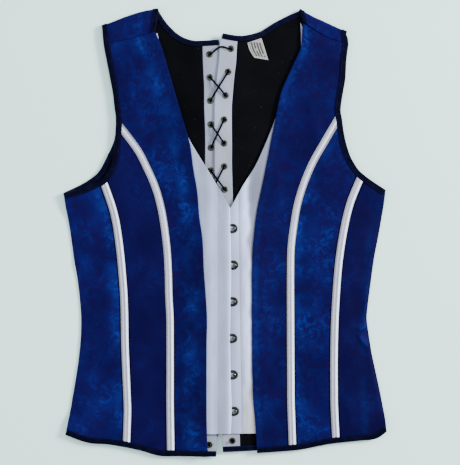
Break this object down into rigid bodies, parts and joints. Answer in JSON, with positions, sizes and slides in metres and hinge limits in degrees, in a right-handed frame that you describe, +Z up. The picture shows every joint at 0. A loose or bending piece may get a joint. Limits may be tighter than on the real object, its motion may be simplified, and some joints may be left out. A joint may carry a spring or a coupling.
{
  "type": "boned waistcoat",
  "caption": "Sleeveless boned waistcoat laid flat, front up, with a busk closing, boning tapes, bound edges and a back in two halves laced through eyelets.",
  "frame": {"origin": "middle of the box's bottom face, on the surface that the garment lies on", "axes": "+X to the right as seen from above, +Y towards the neck, +Z up from the surface"},
  "size_m": [0.4863, 0.6742, 0.0186],
  "materials": {
    "blue": "figured silk",
    "satin": "satin",
    "black": "plain weave",
    "binding": "satin bias tape",
    "tape": "twill tape",
    "label": "printed satin",
    "lace": "braided cord",
    "steel": "nickel plated"
  },
  "bodies": {
    "root": {"back_left": "blue", "back_lining_left": "black", "eyelet_strip_left": "satin", "inner_front_left": "satin", "front_centre_left": "blue", "front_middle_left": "blue", "front_side_left": "blue", "bone_tape_inner_left": "tape", "bone_tape_outer_left": "tape", "armhole_binding_left": "binding", "neck_binding_left": "binding", "hem_binding_front_left": "binding", "hem_binding_back_left": "binding", "eyelet_left_1": "steel", "eyelet_left_2": "steel", "eyelet_left_3": "steel", "eyelet_left_4": "steel", "eyelet_left_5": "steel", "eyelet_left_6": "steel", "eyelet_left_7": "steel", "eyelet_left_18": "steel", "back_right": "blue", "back_lining_right": "black", "eyelet_strip_right": "satin", "inner_front_right": "satin", "front_centre_right": "blue", "front_middle_right": "blue", "front_side_right": "blue", "bone_tape_inner_right": "tape", "bone_tape_outer_right": "tape", "armhole_binding_right": "binding", "neck_binding_right": "binding", "hem_binding_front_right": "binding", "hem_binding_back_right": "binding", "eyelet_right_1": "steel", "eyelet_right_2": "steel", "eyelet_right_3": "steel", "eyelet_right_4": "steel", "eyelet_right_5": "steel", "eyelet_right_6": "steel", "eyelet_right_7": "steel", "eyelet_right_18": "steel", "lace": "lace", "label": "label", "busk_loop_1": "steel", "busk_stud_1": "steel", "busk_loop_2": "steel", "busk_stud_2": "steel", "busk_loop_3": "steel", "busk_stud_3": "steel", "busk_loop_4": "steel", "busk_stud_4": "steel", "busk_loop_5": "steel", "busk_stud_5": "steel", "busk_loop_6": "steel", "busk_stud_6": "steel"}
  },
  "joints": []
}
